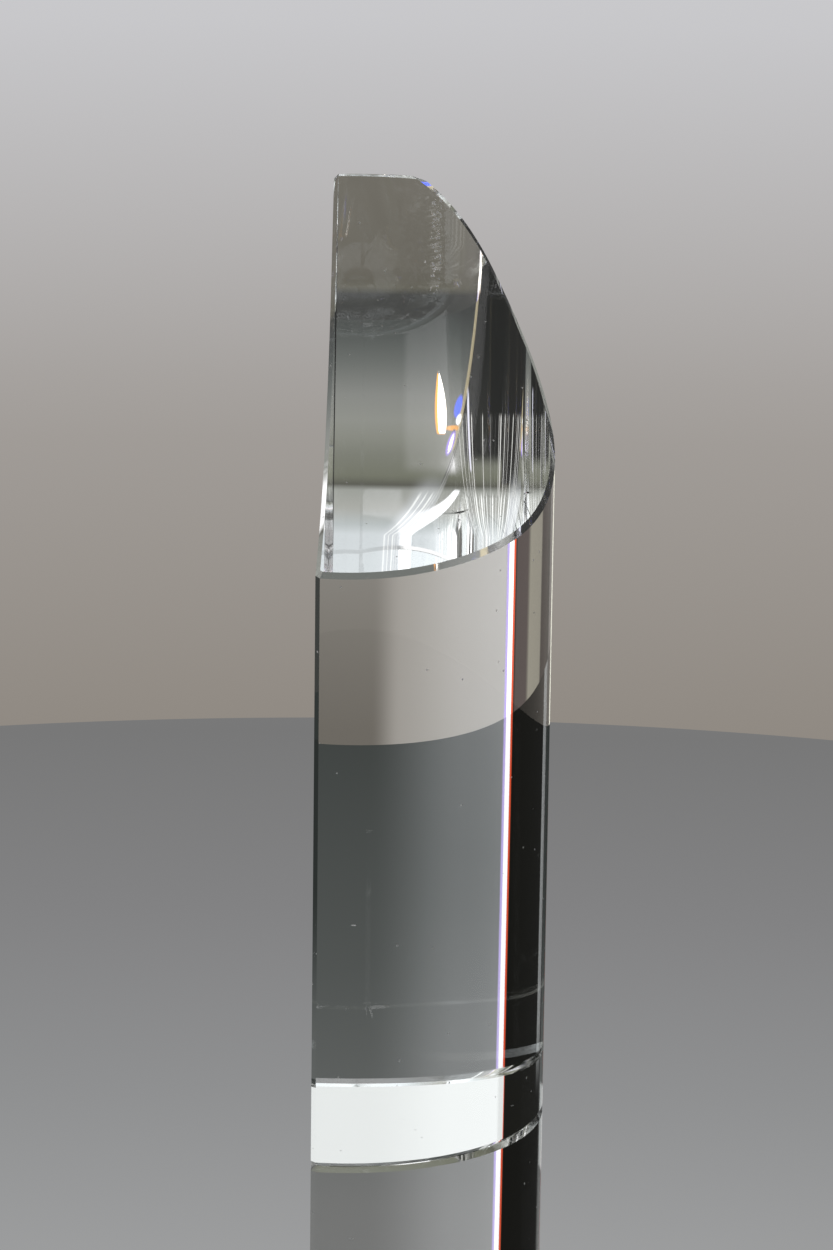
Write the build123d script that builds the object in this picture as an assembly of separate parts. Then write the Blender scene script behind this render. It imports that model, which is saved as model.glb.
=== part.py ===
from build123d import *
from math import radians, sin
import os

# Crystal award: one solid block of clear optical glass, ground and polished from a round bar.
# A flat engraving face runs the full height of the bar. A hollow sweep is ground across the top,
# rising from a low lip at the +X side to a narrow level land at the -X side. Every outer edge
# is bevelled.
# Frame: origin at the middle of the base's bounding box, +Z up, engraving face towards -Y.

# Driving dimensions, in millimetres and degrees
body_radius = 44.5  # round back of the bar
face_offset = 6.0  # from the bar's axis to the engraving face
overall_height = 204.5  # base to top land
lip_height = 132.0  # base to the low end of the sweep
land_depth = 2.5  # level land at the top, measured from the back of the bar
lip_dip = 24.0  # straight run-in at the lip, below the line from lip to land
land_dip = 22.5  # straight run-out under the land, below the same line
sweep_radius = 96.5  # hollow arc between the two straight runs
edge_bevel = 1.0  # bevel leg on every outer edge
overshoot = 20.0  # how far the cutting shape reaches past the block


def bar_section():
    """Round bar section with its -Y side cut off flat, centred on its own bounding box."""
    width = 2 * body_radius
    thickness = body_radius + face_offset
    axis_y = thickness / 2 - body_radius
    kept_side = Pos(0, -axis_y) * Rectangle(width, thickness)
    return Pos(0, axis_y) * (Circle(body_radius) & kept_side)


def sweep_cutter():
    """Everything above the hollow sweep and above the top land, as one prism along Y."""
    lip = Vector(body_radius, lip_height)
    land = Vector(land_depth - body_radius, overall_height)
    chord = land - lip
    lip_way = chord.normalized().rotate(Axis.Z, lip_dip)
    bend_share = sin(radians(land_dip)) / sin(radians(lip_dip + land_dip))
    bend = lip + lip_way * chord.length * bend_share
    start = lip - lip_way * overshoot
    sweep = FilletPolyline(start, bend, land, radius=sweep_radius)
    back = land.X - land_depth - overshoot
    ceiling = overall_height + overshoot
    outside = Polyline(land, (back, land.Y), (back, ceiling), (start.X, ceiling), start)
    profile = Plane.XZ * make_face(sweep + outside)
    return extrude(profile, amount=body_radius + overshoot, both=True)


def bevelled(block):
    """The block with every outer edge bevelled."""
    # Edges along Y on the top are the sweep's tangent joins and the land's crest, which stay
    across_top = block.edges().filter_by(Axis.Y).filter_by_position(Axis.Z, lip_height, overall_height)
    return chamfer(block.edges() - across_top, edge_bevel)


crystal_block = bevelled(extrude(bar_section(), amount=overall_height) - sweep_cutter())
crystal_block.label = "crystal_block"

os.makedirs("parts", exist_ok=True)
export_step(crystal_block, "parts/crystal_block.step")
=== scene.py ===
from itertools import pairwise
from math import acos, asin, atan2, ceil, cos, hypot, pi, radians, sin, sqrt, tan

import bpy
from mathutils import Matrix, Vector


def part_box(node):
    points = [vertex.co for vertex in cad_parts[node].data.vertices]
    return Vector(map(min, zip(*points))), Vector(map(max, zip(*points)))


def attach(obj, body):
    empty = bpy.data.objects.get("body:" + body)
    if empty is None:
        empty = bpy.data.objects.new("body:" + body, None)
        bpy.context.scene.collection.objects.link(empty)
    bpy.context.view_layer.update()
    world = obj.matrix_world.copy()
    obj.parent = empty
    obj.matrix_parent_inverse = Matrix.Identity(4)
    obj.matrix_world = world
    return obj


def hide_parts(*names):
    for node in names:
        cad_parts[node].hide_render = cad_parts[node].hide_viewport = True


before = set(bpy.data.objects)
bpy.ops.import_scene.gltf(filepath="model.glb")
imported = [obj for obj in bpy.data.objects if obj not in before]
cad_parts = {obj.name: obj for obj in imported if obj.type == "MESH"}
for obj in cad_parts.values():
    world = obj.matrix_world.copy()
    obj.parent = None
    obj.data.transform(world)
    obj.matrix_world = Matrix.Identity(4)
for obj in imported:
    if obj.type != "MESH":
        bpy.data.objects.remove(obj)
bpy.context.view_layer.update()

# The block, in metres and radians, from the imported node's box and the cut's own sizes
LOW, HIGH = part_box("crystal_block")
RADIUS = (HIGH.x - LOW.x) / 2
HEIGHT = HIGH.z
AXIS_Y = HIGH.y - RADIUS
FACE_OFFSET = AXIS_Y - LOW.y
LIP_HEIGHT = 0.132
LAND_DEPTH = 0.0025
LIP_DIP = radians(24.0)
LAND_DIP = radians(22.5)
SWEEP_RADIUS = 0.0965
BEVEL = 0.001

# The widest turn of the wall that one facet takes, and a length too small to matter
FINEST = radians(0.6)
TINY = 1e-9
# Edges that turn by more than this show as edges
SHARP_ANGLE = radians(12)
# Which band of faces is the wall, counted up from the base's bevel
WALL_BAND = 1


def turned(way, angle):
    """A direction in the X-Z plane, turned anticlockwise as seen with +X to the right and +Z up."""
    return Vector((way.x * cos(angle) - way.y * sin(angle), way.x * sin(angle) + way.y * cos(angle)))


class Sweep:
    """The hollow cut across the top: straight at the lip, an arc, straight up to the land's crest."""

    def __init__(self):
        self.lip = Vector((RADIUS, LIP_HEIGHT))
        self.crest = Vector((LAND_DEPTH - RADIUS, HEIGHT))
        chord = self.crest - self.lip
        turn = LIP_DIP + LAND_DIP
        lip_way = turned(chord.normalized(), LIP_DIP)
        crest_way = turned(chord.normalized(), -LAND_DIP)
        bend = self.lip + lip_way * chord.length * sin(LAND_DIP) / sin(turn)
        tangent = SWEEP_RADIUS * tan(turn / 2)
        self.arc_low = bend - lip_way * tangent
        self.arc_high = bend + crest_way * tangent
        self.centre = self.arc_low + turned(lip_way, -pi / 2) * SWEEP_RADIUS
        self.lip_slope = lip_way.y / lip_way.x
        self.crest_slope = crest_way.y / crest_way.x

    def slope(self, x):
        """dz/dx of the top at x."""
        if x < self.crest.x:
            return 0.0
        if x > self.arc_low.x:
            return self.lip_slope
        if x < self.arc_high.x:
            return self.crest_slope
        across = x - self.centre.x
        return across / sqrt(SWEEP_RADIUS**2 - across**2)

    def height(self, x):
        """Height of the top at x."""
        if x < self.crest.x:
            return HEIGHT
        if x > self.arc_low.x:
            return self.lip.y + (x - self.lip.x) * self.lip_slope
        if x < self.arc_high.x:
            return self.crest.y + (x - self.crest.x) * self.crest_slope
        return self.centre.y - sqrt(SWEEP_RADIUS**2 - (x - self.centre.x) ** 2)


SWEEP = Sweep()


def section(inset):
    """The D-shaped section, inset evenly: its radius, and where the upright's bevel meets side and face."""
    radius = RADIUS - inset
    corner = sqrt(RADIUS**2 - FACE_OFFSET**2)
    on_face = Vector((corner - BEVEL, -FACE_OFFSET))
    side_angle = -asin(FACE_OFFSET / RADIUS) + BEVEL / RADIUS
    on_side = Vector((RADIUS * cos(side_angle), RADIUS * sin(side_angle)))
    facing = turned((on_side - on_face).normalized(), -pi / 2)
    away = on_face.dot(facing) - inset
    side_x = radius * cos(atan2(facing.y, facing.x) + acos(away / radius))
    face_x = (away - (inset - FACE_OFFSET) * facing.y) / facing.x
    return radius, side_x, face_x


def breaks(inset):
    """Angles on the round side, from +X to -X, where the section or the top changes its kind of line."""
    radius, side_x, face_x = section(inset)
    tops = [SWEEP.arc_low.x, SWEEP.arc_high.x, SWEEP.crest.x]
    places = [radius, side_x, face_x, *tops, -face_x, -side_x, -radius]
    return [acos(x / radius) for x in places]


STEPS = [ceil((after - before) / FINEST) for before, after in pairwise(breaks(0.0))]


def outline(inset):
    """The section as two chains of (x, y) from -X to +X, of the flat and the round side, sharing each x."""
    radius, side_x, face_x = section(inset)
    turns = [0.0]
    for (before, after), steps in zip(pairwise(breaks(inset)), STEPS):
        turns += [before + (after - before) * k / steps for k in range(1, steps + 1)]
    low, high = [], []
    for angle in reversed(turns):
        x, y = radius * cos(angle), radius * sin(angle)
        high.append((x, y))
        if abs(x) > side_x:
            low.append((x, -y))
        else:
            side_y = -sqrt(radius**2 - side_x**2)
            share = min((side_x - abs(x)) / (side_x - face_x), 1.0)
            low.append((x, side_y + (inset - FACE_OFFSET - side_y) * share))
    return low, high


def ring(inset, height):
    """The outline as one closed loop of points, each at height(x, y)."""
    low, high = outline(inset)
    loop = low + high[-2:0:-1]
    return [Vector((x, y + AXIS_Y, height(x, y))) for x, y in loop], len(low)


def wall_top(x, y):
    """Where the wall meets the rim's bevel: a bevel leg down from the sharp rim, square to it."""
    slope = SWEEP.slope(x)
    along = 1.0 if abs(y + FACE_OFFSET) < TINY else abs(y) / RADIUS
    return SWEEP.height(x) - BEVEL * hypot(1.0, slope * along)


def block_mesh():
    """The block as bands of faces between four rings, with strips across its base and its top."""
    rings = [
        ring(BEVEL, lambda x, y: 0.0),
        ring(0.0, lambda x, y: BEVEL),
        ring(0.0, wall_top),
        ring(BEVEL, lambda x, y: SWEEP.height(x)),
    ]
    stations = rings[0][1]
    around = len(rings[0][0])
    points = [p for loop, _ in rings for p in loop]
    faces = []
    for r in range(len(rings) - 1):
        for k in range(around):
            a, b = r * around + k, r * around + (k + 1) % around
            faces.append((a, b, b + around, a + around))
    top = (len(rings) - 1) * around
    for k in range(stations - 1):
        low, low_next = k, k + 1
        high, high_next = (around - k) % around, around - k - 1
        corners = [low, low_next, high_next, high]
        strip = list(dict.fromkeys(corners))
        faces.append(tuple(top + c for c in strip))
        faces.append(tuple(reversed(strip)))
    mesh = bpy.data.meshes.new("crystal")
    mesh.from_pydata(points, [], faces)
    bevels = mesh.attributes.new("edge", "FLOAT", "FACE")
    marks = [float(f < top and f // around != WALL_BAND) for f in range(len(faces))]
    bevels.data.foreach_set("value", marks)
    mesh.polygons.foreach_set("use_smooth", [True] * len(mesh.polygons))
    mesh.set_sharp_from_angle(angle=SHARP_ANGLE)
    return mesh


def math_node(tree, operation, *values):
    """One math node, fed with numbers or sockets."""
    node = tree.nodes.new("ShaderNodeMath")
    node.operation = operation
    for socket, value in zip(node.inputs, values):
        if isinstance(value, (int, float)):
            socket.default_value = value
        else:
            tree.links.new(value, socket)
    return node.outputs[0]


def product(tree, *values):
    """All the values multiplied together."""
    total = values[0]
    for value in values[1:]:
        total = math_node(tree, "MULTIPLY", total, value)
    return total


def step(tree, value, start, end):
    """0 before start, 1 after end, smooth between."""
    node = tree.nodes.new("ShaderNodeMapRange")
    node.interpolation_type = "SMOOTHSTEP"
    node.inputs["From Min"].default_value = start
    node.inputs["From Max"].default_value = end
    tree.links.new(value, node.inputs["Value"])
    return node.outputs["Result"]


def window(tree, value, low, high, soft):
    """1 between low and high, with edges soft wide."""
    rise = step(tree, value, low - soft / 2, low + soft / 2)
    fall = step(tree, value, high - soft / 2, high + soft / 2)
    return math_node(tree, "SUBTRACT", rise, fall)


def mixed(tree, share, under, over):
    """The colour under, with a share of the colour over."""
    node = tree.nodes.new("ShaderNodeMix")
    node.data_type = "RGBA"
    tree.links.new(share, node.inputs["Factor"])
    for name, colour in (("A", under), ("B", over)):
        socket = next(s for s in node.inputs if s.name == name and s.type == "RGBA")
        if isinstance(colour, tuple):
            socket.default_value = (*colour, 1.0)
        else:
            tree.links.new(colour, socket)
    return next(s for s in node.outputs if s.type == "RGBA")


# How strongly crystal glass bends light
REFRACTIVE_INDEX = 1.52
# Specks: cells to a metre, how much of a cell one fills, the share of cells with one, how dull it is
SPECK_CELLS = 1500
SPECK_SIZE = 0.4
SPECK_SHARE = 0.0015
BAND_SHARE = 0.42
SPECK_ROUGHNESS = 0.7
# The band of specks under the top of the cut: its middle, half width, how softly its sides fade,
# its lowest height and foremost x
BAND_Y = -0.002
BAND_HALF_WIDTH = 0.0011
BAND_SOFTNESS = 0.0002
BAND_LOW = 0.18
BAND_FRONT = -0.008
# The edges are ground a little less finely than the faces
EDGE_CELLS = 500
EDGE_ROUGHNESS = 0.22
GRAIN_START = 0.35
GRAIN_END = 0.75


def crystal_material():
    """Polished crystal: clear, with a few fine specks and slightly duller edges."""
    material = bpy.data.materials.new("clear_crystal")
    material.use_nodes = True
    tree = material.node_tree
    shader = tree.nodes["Principled BSDF"]
    shader.inputs["Base Color"].default_value = (1, 1, 1, 1)
    shader.inputs["IOR"].default_value = REFRACTIVE_INDEX
    shader.inputs["Transmission Weight"].default_value = 1.0

    place = tree.nodes.new("ShaderNodeTexCoord").outputs["Object"]
    cells = tree.nodes.new("ShaderNodeTexVoronoi")
    cells.inputs["Scale"].default_value = SPECK_CELLS
    tree.links.new(place, cells.inputs["Vector"])
    chance = tree.nodes.new("ShaderNodeSeparateColor")
    tree.links.new(cells.outputs["Color"], chance.inputs["Color"])
    way = tree.nodes.new("ShaderNodeSeparateXYZ")
    tree.links.new(place, way.inputs["Vector"])
    x, y, z = way.outputs
    beside = window(tree, y, BAND_Y - BAND_HALF_WIDTH, BAND_Y + BAND_HALF_WIDTH, BAND_SOFTNESS)
    above = math_node(tree, "GREATER_THAN", z, BAND_LOW)
    behind = math_node(tree, "LESS_THAN", x, BAND_FRONT)
    band = product(tree, beside, above, behind)
    share = math_node(tree, "MULTIPLY_ADD", band, BAND_SHARE, SPECK_SHARE)
    held = math_node(tree, "LESS_THAN", chance.outputs["Red"], share)
    dot = math_node(tree, "LESS_THAN", cells.outputs["Distance"], SPECK_SIZE)
    speck = product(tree, held, dot, SPECK_ROUGHNESS)

    grain = tree.nodes.new("ShaderNodeTexNoise")
    grain.inputs["Scale"].default_value = EDGE_CELLS
    tree.links.new(place, grain.inputs["Vector"])
    edge = tree.nodes.new("ShaderNodeAttribute")
    edge.attribute_name = "edge"
    coarse = step(tree, grain.outputs[0], GRAIN_START, GRAIN_END)
    ground = product(tree, edge.outputs["Fac"], coarse, EDGE_ROUGHNESS)
    tree.links.new(math_node(tree, "MAXIMUM", speck, ground), shader.inputs["Roughness"])
    return material


crystal = bpy.data.objects.new("crystal", block_mesh())
bpy.context.scene.collection.objects.link(crystal)
crystal.data.materials.append(crystal_material())
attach(crystal, "root")
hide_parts("crystal_block")

# Camera, at the photographed angle
AZIMUTH = radians(91.08)
PITCH = radians(13.48)
ROLL = radians(0.744)
DISTANCE = 1.0584
LENS = 138.1
SENSOR_WIDTH = 36.0
NEAREST = 0.05
FARTHEST = 50.0
AIM = Vector((-0.0003, -0.0046, 0.1107))


def add_camera():
    """The camera, level with its roll and looking at AIM."""
    data = bpy.data.cameras.new("camera")
    data.lens = LENS
    data.sensor_width = SENSOR_WIDTH
    data.clip_start = NEAREST
    data.clip_end = FARTHEST
    camera = bpy.data.objects.new("camera", data)
    bpy.context.scene.collection.objects.link(camera)
    ahead = Vector((-sin(AZIMUTH) * cos(PITCH), cos(AZIMUTH) * cos(PITCH), -sin(PITCH)))
    level = ahead.cross(Vector((0, 0, 1))).normalized()
    up = level.cross(ahead)
    right = cos(ROLL) * level + sin(ROLL) * up
    up = right.cross(ahead)
    turn = Matrix((right, up, -ahead)).transposed().to_4x4()
    camera.matrix_world = Matrix.Translation(AIM - ahead * DISTANCE) @ turn
    bpy.context.scene.camera = camera


add_camera()


# The world is laid out in degrees: a ramp runs from straight down to straight up, level at its middle
HALF_TURN = 180
LEVEL = 0.5


def by_elevation(tree, up, stops):
    """Colour by elevation, through stops of (degrees, colour)."""
    node = tree.nodes.new("ShaderNodeValToRGB")
    elements = node.color_ramp.elements
    elements.remove(elements[1])
    elements[0].position = 0.0
    for k, (degrees_up, colour) in enumerate(stops):
        element = elements[0] if k == 0 else elements.new(degrees_up / HALF_TURN + LEVEL)
        element.color = (*colour, 1.0)
    tree.links.new(math_node(tree, "MULTIPLY_ADD", up, 1 / HALF_TURN, LEVEL), node.inputs["Fac"])
    return node.outputs["Color"]


def lines(tree, across, per_degree, low, high):
    """Thin upright lines at uneven spacing across the world."""
    noise = tree.nodes.new("ShaderNodeTexNoise")
    noise.noise_dimensions = "1D"
    noise.inputs["Scale"].default_value = per_degree
    noise.inputs["Detail"].default_value = 1.0
    tree.links.new(across, noise.inputs["W"])
    return step(tree, noise.outputs[0], low, high)


# The plain sweep, by elevation in degrees: what the camera, the floor and a first reflection see
PLAIN_SWEEP = [
    (-90, (0.15, 0.14, 0.125)),
    (-24, (0.19, 0.175, 0.155)),
    (-14.6, (0.28, 0.254, 0.226)),
    (-11, (0.36, 0.337, 0.318)),
    (-6, (0.59, 0.59, 0.61)),
    (0, (0.64, 0.64, 0.65)),
    (8, (0.45, 0.45, 0.45)),
    (14.6, (0.24, 0.24, 0.24)),
    (17, (0.30, 0.30, 0.305)),
    (19, (0.37, 0.375, 0.38)),
    (21, (0.46, 0.465, 0.47)),
    (30, (0.52, 0.52, 0.52)),
    (45, (0.44, 0.44, 0.44)),
    (90, (0.44, 0.44, 0.44)),
]
# The surround that only rays from inside the crystal see. It isn't a plain light: its tones and the
# lights below were fitted to how one photograph looks.
CRYSTAL_SWEEP = [
    (-90, (0.04, 0.04, 0.04)),
    (-27.3, (0.048, 0.05, 0.047)),
    (-26.6, (0.05, 0.052, 0.05)),
    (-26.3, (0.125, 0.12, 0.092)),
    (-25, (0.12, 0.112, 0.09)),
    (-23, (0.155, 0.145, 0.12)),
    (-14.6, (0.165, 0.152, 0.132)),
    (-13, (0.235, 0.222, 0.198)),
    (-6, (0.60, 0.60, 0.62)),
    (8, (0.4, 0.4, 0.4)),
    (14.6, (0.07, 0.078, 0.074)),
    (17.5, (0.115, 0.125, 0.12)),
    (19, (0.16, 0.17, 0.165)),
    (20, (0.25, 0.255, 0.25)),
    (23, (0.29, 0.29, 0.285)),
    (26, (0.17, 0.17, 0.17)),
    (28, (0.07, 0.076, 0.072)),
    (30.6, (0.11, 0.122, 0.115)),
    (34, (0.20, 0.215, 0.20)),
    (38, (0.345, 0.355, 0.33)),
    (41.5, (0.39, 0.40, 0.36)),
    (44, (0.35, 0.36, 0.31)),
    (47, (0.28, 0.29, 0.24)),
    (51.5, (0.23, 0.24, 0.18)),
    (53.6, (0.12, 0.12, 0.095)),
    (54.6, (0.47, 0.49, 0.445)),
    (60, (0.58, 0.59, 0.545)),
    (66, (0.70, 0.76, 0.76)),
    (72, (0.98, 1.05, 1.08)),
    (90, (1.15, 1.2, 1.2)),
]
# Lights and black flags that show through the crystal: azimuth from and to, elevation from and to,
# softness of the edges and colour. Azimuth 0 is behind the object and plus is to the right.
PATCHES = [
    (-100, -9, -21, -10, 6.0, (0.345, 0.325, 0.295)),
    (-100, -26, -21, -10, 20.0, (0.40, 0.385, 0.36)),
    (20, 76, -16, 24, 2.0, (0.03, 0.03, 0.03)),
    (8, 22, -17, 17.5, 2.0, (0.03, 0.035, 0.033)),
    (-80, -45.2, -40, 53, 1.0, (0.010, 0.010, 0.008)),
    (-140, -74, -34, -22.5, 1.5, (0.02, 0.022, 0.018)),
    (-140, -74, 23, 48, 3.0, (0.006, 0.007, 0.005)),
    (135, 190, -24, 24, 2.0, (0.02, 0.02, 0.02)),
    (-190, -135, -24, 24, 2.0, (0.02, 0.02, 0.02)),
    (-54, -46, -25, -5, 1.0, (0.10, 0.08, 0.075)),
    (-66, -54, -25, -5, 2.5, (0.34, 0.32, 0.26)),
    (-76, -66, -25, -5, 2.5, (0.05, 0.04, 0.035)),
    (-79, -73, 13, 18.6, 1.0, (0.55, 0.57, 0.57)),
    (-42.4, -41.2, -40, 25, 0.8, (0.62, 0.50, 1.05)),
    (-44.5, -42.2, -40, 25, 0.5, (1.6, 1.6, 1.6)),
    (-45.4, -44.5, -40, 25, 0.4, (1.0, 0.12, 0.04)),
    (-46, -40.5, 25, 46, 1.2, (0.9, 0.78, 0.5)),
    (-56, -47, -26.2, -23.9, 1.0, (2.6, 1.1, 0.25)),
    (-50, -41, -26.2, -23.9, 1.2, (3.2, 3.1, 2.9)),
    (-132, -129, 37, 50, 1.2, (1.3, 1.3, 1.5)),
    (100, 152, 24, 50, 3.0, (1.6, 1.6, 1.6)),
    (18, 40, 44, 70, 3.0, (1.9, 1.9, 1.9)),
    (-62, -28, 55, 80, 12.0, (1.05, 1.1, 1.15)),
    (153, 158.6, 54.5, 80, 1.0, (2.2, 2.25, 2.3)),
]
# Soft round sparks: azimuth and elevation of the middle, half sizes and colour
SPOTS = [
    (-37.5, 39.4, 4.0, 1.7, (0.25, 0.40, 2.6)),
    (-41, 41.2, 3.6, 0.9, (3.0, 3.1, 3.4)),
    (-37.5, 42.5, 7.5, 0.5, (1.7, 0.8, 0.2)),
    (-39, 45.0, 4.0, 2.3, (0.7, 0.45, 1.9)),
    (-39, 45.0, 1.8, 1.8, (4.0, 3.8, 4.0)),
]
BASE_LIGHT = (0.87, 0.9, 0.89)
LAMP = (5.0, 4.8, 4.5)
LAMP_FRINGE = (2.4, 1.0, 0.2)
# The lamp's drop: its azimuth at the horizon and lean to a degree up, where it starts, ends and is cut,
# its width and the softness of its cut and rim; the fringe is shifted and larger
LAMP_ACROSS = 11.25
LAMP_LEAN = -0.95
LAMP_LOW = 35
LAMP_HIGH = 44
LAMP_CUT = 42.8
LAMP_GROWTH = 0.5
LAMP_WIDTH = 0.2
LAMP_SOFTNESS = 0.5
LAMP_RIM = (0.7, 1.3)
FRINGE_SHIFT = 0.6
FRINGE_SIZE = 1.25
SPOT_RIM = (0.2, 1.2)
# Fine upright lines and broader streaks over them: lines to a degree, the noise where one starts and
# is full, then azimuth and elevation, each from, to and softness or start and full
COMB = (1.15, 1.15, 1.1)
COMB_LINES = (0.45, 0.60, 0.68)
COMB_ACROSS = (-150, -46, 2)
COMB_UP = (40.5, 56, 1)
STREAKS = (2.0, 2.05, 2.0)
STREAK_LINES = (0.3, 0.5, 0.62)
STREAK_ACROSS = (-158, -30, 6)
STREAK_UP = (54.5, 57)
STREAK_STRENGTH = 0.75
# The light that shows in the base: how its lower and upper edges bow, where each starts and is full
BASE_LOW_BOW = 0.0001
BASE_HIGH_BOW = 0.00016
BASE_START = (18.9, 18.98)
BASE_END = (19.89, 19.97)
BASE_ACROSS = (-45.1, 20, 0.4)
# The soft light at the side, by elevation, as the crystal's outside reflects it. Its part under the
# horizon is reflected straight to the camera, and its part over it by way of the floor.
SIDE_LIGHT = [
    (-90, (2.0, 2.05, 2.1)),
    (-16.5, (2.05, 2.1, 2.15)),
    (-14.6, (2.6, 2.65, 2.7)),
    (-13, (3.5, 3.6, 3.68)),
    (0, (4.5, 4.6, 4.7)),
    (13, (4.5, 4.6, 4.7)),
    (14.6, (3.35, 3.45, 3.55)),
    (16.5, (2.6, 2.7, 2.8)),
    (18, (3.2, 3.3, 3.4)),
    (90, (3.2, 3.3, 3.4)),
]
# Where it starts and fades, and its heights: as a first reflection shows it and over the horizon
SIDE_START = (77, 80)
SIDE_FADE = (110, 168)
SIDE_LOW = (-22, -9, 2)
SIDE_HIGH = (8, 26, 2)
# A black flag and a thin bright light that only a first reflection shows
FLAG = (0.02, 0.02, 0.02)
FLAG_ACROSS = (18, 77, 2)
FLAG_UP = (-24, -14.9, 0.6)
RIM_LIGHT = (1.3, 1.28, 1.1)
RIM_ACROSS = (4, 11, 2)
RIM_UP = (-20, -5, 2)
# Ray depths past which a ray has been reflected, or has gone further, and the depth past which it
# has gone through glass. A background counts one bounce more than its ray has made.
REFLECTED = 1.5
GONE_FURTHER = 2.5
THROUGH_GLASS = 0.5


def teardrop(tree, across, up, shift, size):
    """A lamp's slanting drop, narrow at its low end and round at its high end."""
    centre = math_node(tree, "MULTIPLY_ADD", up, LAMP_LEAN, LAMP_ACROSS + shift)
    rounded = math_node(tree, "SQRT", math_node(tree, "SUBTRACT", LAMP_HIGH + LAMP_GROWTH * size, up))
    half_width = product(tree, rounded, math_node(tree, "SUBTRACT", up, LAMP_LOW), LAMP_WIDTH * size)
    off = math_node(tree, "DIVIDE", math_node(tree, "SUBTRACT", across, centre), half_width)
    inside = math_node(tree, "SUBTRACT", 1.0, step(tree, product(tree, off, off), *LAMP_RIM))
    cut = LAMP_CUT + LAMP_GROWTH * size
    return product(tree, inside, window(tree, up, LAMP_LOW, cut, LAMP_SOFTNESS))


def spot(tree, across, up, middle, height, half_width, half_height):
    """A soft round light."""
    side = math_node(tree, "DIVIDE", math_node(tree, "SUBTRACT", across, middle), half_width)
    rise = math_node(tree, "DIVIDE", math_node(tree, "SUBTRACT", up, height), half_height)
    square = math_node(tree, "ADD", product(tree, side, side), product(tree, rise, rise))
    return math_node(tree, "SUBTRACT", 1.0, step(tree, square, *SPOT_RIM))


def crystal_studio(tree, across, up):
    """What shows through the crystal: the sweep with its flags, strips, lamps and thin lines."""
    colour = by_elevation(tree, up, CRYSTAL_SWEEP)
    for left, right, low, high, soft, tint in PATCHES:
        share = product(tree, window(tree, across, left, right, soft), window(tree, up, low, high, soft))
        colour = mixed(tree, share, colour, tint)
    comb = product(tree, lines(tree, across, *COMB_LINES), window(tree, across, *COMB_ACROSS))
    colour = mixed(tree, product(tree, comb, window(tree, up, *COMB_UP)), colour, COMB)
    streaks = product(tree, lines(tree, across, *STREAK_LINES), window(tree, across, *STREAK_ACROSS))
    streaks = product(tree, streaks, step(tree, up, *STREAK_UP), STREAK_STRENGTH)
    colour = mixed(tree, streaks, colour, STREAKS)
    square = product(tree, across, across)
    over = step(tree, math_node(tree, "MULTIPLY_ADD", square, BASE_LOW_BOW, up), *BASE_START)
    past = step(tree, math_node(tree, "MULTIPLY_ADD", square, BASE_HIGH_BOW, up), *BASE_END)
    base = product(tree, math_node(tree, "SUBTRACT", over, past), window(tree, across, *BASE_ACROSS))
    colour = mixed(tree, base, colour, BASE_LIGHT)
    for middle, height, half_width, half_height, tint in SPOTS:
        colour = mixed(tree, spot(tree, across, up, middle, height, half_width, half_height), colour, tint)
    colour = mixed(tree, teardrop(tree, across, up, FRINGE_SHIFT, FRINGE_SIZE), colour, LAMP_FRINGE)
    return mixed(tree, teardrop(tree, across, up, 0, 1), colour, LAMP)


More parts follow.
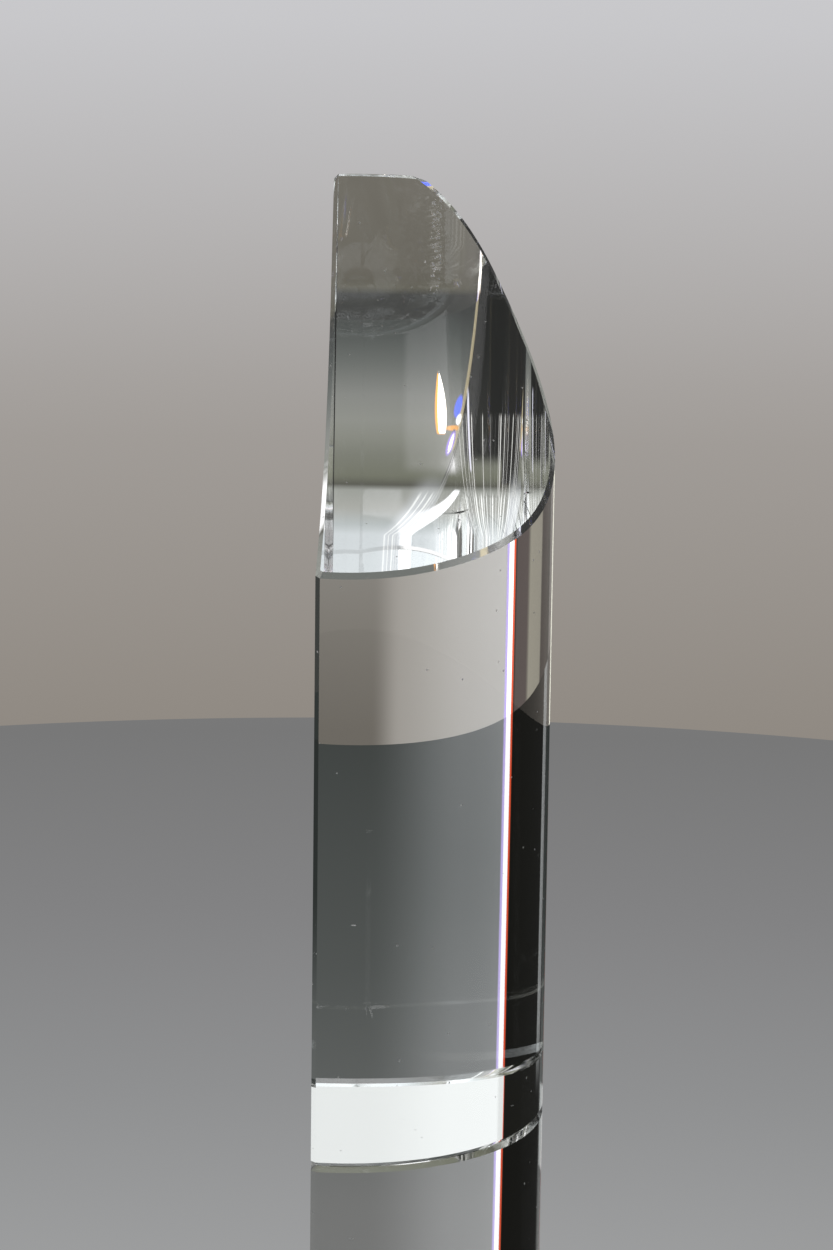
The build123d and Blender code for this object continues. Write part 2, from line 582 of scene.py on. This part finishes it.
def add_world():
    """Two surrounds: a plain sweep for the camera, and the fitted one for rays gone further."""
    world = bpy.data.worlds.new("studio")
    bpy.context.scene.world = world
    world.use_nodes = True
    tree = world.node_tree
    way = tree.nodes.new("ShaderNodeSeparateXYZ")
    tree.links.new(tree.nodes.new("ShaderNodeTexCoord").outputs["Generated"], way.inputs[0])
    x, y, z = way.outputs
    up = math_node(tree, "DEGREES", math_node(tree, "ARCSINE", z))
    across = math_node(tree, "DEGREES", math_node(tree, "ARCTAN2", y, product(tree, x, -1.0)))
    path = tree.nodes.new("ShaderNodeLightPath")
    reflected = math_node(tree, "GREATER_THAN", path.outputs["Ray Depth"], REFLECTED)
    later = math_node(tree, "GREATER_THAN", path.outputs["Ray Depth"], GONE_FURTHER)
    within = math_node(tree, "GREATER_THAN", path.outputs["Transmission Depth"], THROUGH_GLASS)

    # The soft light at the side, which only the crystal's outside reflects
    fading = math_node(tree, "SUBTRACT", 1.0, step(tree, across, *SIDE_FADE))
    side = product(tree, step(tree, across, *SIDE_START), fading)
    soft_light = by_elevation(tree, up, SIDE_LIGHT)
    plain = by_elevation(tree, up, PLAIN_SWEEP)
    plain = mixed(tree, product(tree, side, window(tree, up, *SIDE_LOW), reflected), plain, soft_light)
    flag = product(tree, window(tree, across, *FLAG_ACROSS), window(tree, up, *FLAG_UP), reflected)
    plain = mixed(tree, flag, plain, FLAG)
    edge = product(tree, window(tree, across, *RIM_ACROSS), window(tree, up, *RIM_UP), reflected)
    plain = mixed(tree, edge, plain, RIM_LIGHT)
    inner = crystal_studio(tree, across, up)
    outer = mixed(tree, product(tree, side, window(tree, up, *SIDE_HIGH)), inner, soft_light)
    deep = mixed(tree, within, outer, inner)
    tree.links.new(mixed(tree, later, plain, deep), tree.nodes["Background"].inputs["Color"])


add_world()

# The floor: a mirror-smooth grey disc, in metres, whose far edge makes the horizon
FLOOR_RADIUS = 0.444
FLOOR_CENTRE = Vector((0.1, -0.01, -0.0001))
FLOOR_SIDES = 360
FLOOR_TONE = 0.7


def add_floor():
    """The disc, as one face."""
    turns = [2 * pi * k / FLOOR_SIDES for k in range(FLOOR_SIDES)]
    rim = [FLOOR_CENTRE + FLOOR_RADIUS * Vector((cos(turn), sin(turn), 0)) for turn in turns]
    mesh = bpy.data.meshes.new("floor")
    mesh.from_pydata(rim, [], [range(FLOOR_SIDES)])
    floor = bpy.data.objects.new("floor", mesh)
    bpy.context.scene.collection.objects.link(floor)
    material = bpy.data.materials.new("floor")
    material.use_nodes = True
    shader = material.node_tree.nodes["Principled BSDF"]
    shader.inputs["Base Color"].default_value = (FLOOR_TONE, FLOOR_TONE, FLOOR_TONE, 1)
    shader.inputs["Metallic"].default_value = 1.0
    shader.inputs["Roughness"].default_value = 0.0
    mesh.materials.append(material)


add_floor()

# Enough bounces for light to find its way through the block
BOUNCES = 24
scene = bpy.context.scene
scene.cycles.max_bounces = BOUNCES
scene.cycles.transmission_bounces = BOUNCES
scene.cycles.glossy_bounces = BOUNCES
scene.view_settings.view_transform = "Standard"
